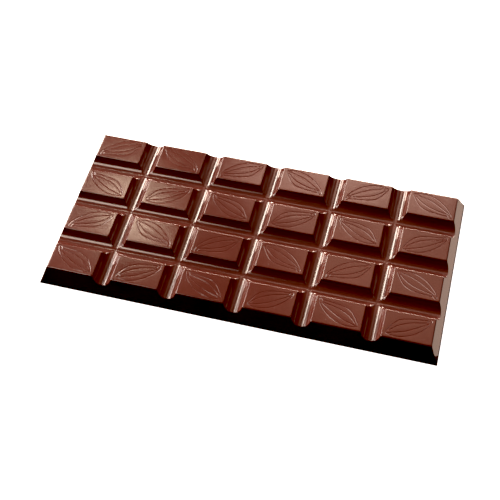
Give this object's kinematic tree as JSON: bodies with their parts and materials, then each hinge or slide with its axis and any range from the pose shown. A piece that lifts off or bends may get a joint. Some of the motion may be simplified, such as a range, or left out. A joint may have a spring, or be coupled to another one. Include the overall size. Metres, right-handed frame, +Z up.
{
  "type": "chocolate bar",
  "caption": "Flat dark chocolate bar with sloping sides, round-bottomed grooves between its squares, and a cocoa pod engraved on each square.",
  "frame": {"origin": "middle of the flat underside", "axes": "+X along the bar's long side, +Y across it, +Z up out of the engraved tops"},
  "size_m": [0.16, 0.077, 0.0083],
  "materials": {
    "dark_chocolate": "satin dark chocolate, glossy in the grooves"
  },
  "bodies": {
    "root": {"chocolate_bar": "dark_chocolate"}
  },
  "joints": []
}
